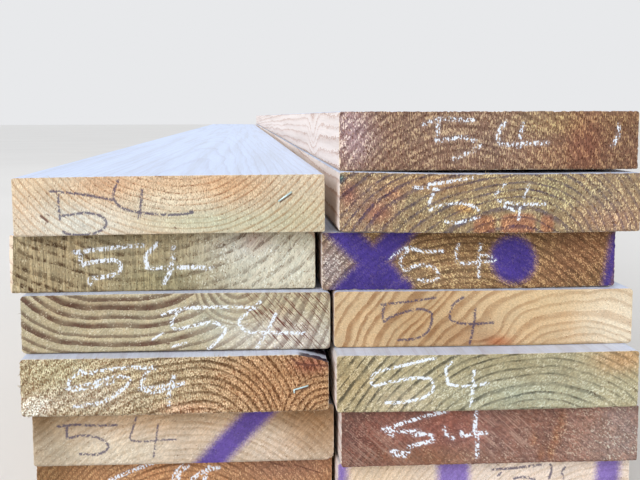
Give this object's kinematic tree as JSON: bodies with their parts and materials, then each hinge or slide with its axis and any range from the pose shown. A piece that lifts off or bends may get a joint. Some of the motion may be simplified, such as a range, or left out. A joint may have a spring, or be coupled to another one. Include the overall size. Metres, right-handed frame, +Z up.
{
  "type": "stack of lumber",
  "caption": "Stack of long preservative-treated softwood boards lying flat in two columns side by side, near ends uneven, for use as building stock.",
  "frame": {"origin": "middle of the stack's footprint, on the floor it lies on", "axes": "+Y along the boards, away from the ends that the picture shows, +Z up, +X to the right when looking at those ends"},
  "size_m": [0.4998, 5.446, 0.3275],
  "materials": {
    "left_board_1_wood": "treated softwood, rough sawn ends and planed faces",
    "left_board_2_wood": "treated softwood, rough sawn ends and planed faces",
    "left_board_3_wood": "treated softwood, rough sawn ends and planed faces",
    "left_board_4_wood": "treated softwood, rough sawn ends and planed faces",
    "left_board_5_wood": "treated softwood, rough sawn ends and planed faces",
    "left_board_6_wood": "treated softwood, rough sawn ends and planed faces",
    "right_board_1_wood": "treated softwood, rough sawn ends and planed faces",
    "right_board_2_wood": "treated softwood, rough sawn ends and planed faces",
    "right_board_3_wood": "treated softwood, rough sawn ends and planed faces",
    "right_board_4_wood": "treated softwood, rough sawn ends and planed faces",
    "right_board_5_wood": "treated softwood, rough sawn ends and planed faces",
    "right_board_6_wood": "treated softwood, rough sawn ends and planed faces",
    "right_board_7_wood": "treated softwood, rough sawn ends and planed faces",
    "staple_wire": "dull grey tag staple driven into a board's end"
  },
  "bodies": {
    "root": {"left_board_1": "left_board_1_wood", "left_board_2": "left_board_2_wood", "left_board_3": "left_board_3_wood", "left_board_4": "left_board_4_wood", "left_board_5": "left_board_5_wood", "left_board_6": "left_board_6_wood", "right_board_1": "right_board_1_wood", "right_board_2": "right_board_2_wood", "right_board_3": "right_board_3_wood", "right_board_4": "right_board_4_wood", "right_board_5": "right_board_5_wood", "right_board_6": "right_board_6_wood", "right_board_7": "right_board_7_wood"}
  },
  "joints": []
}
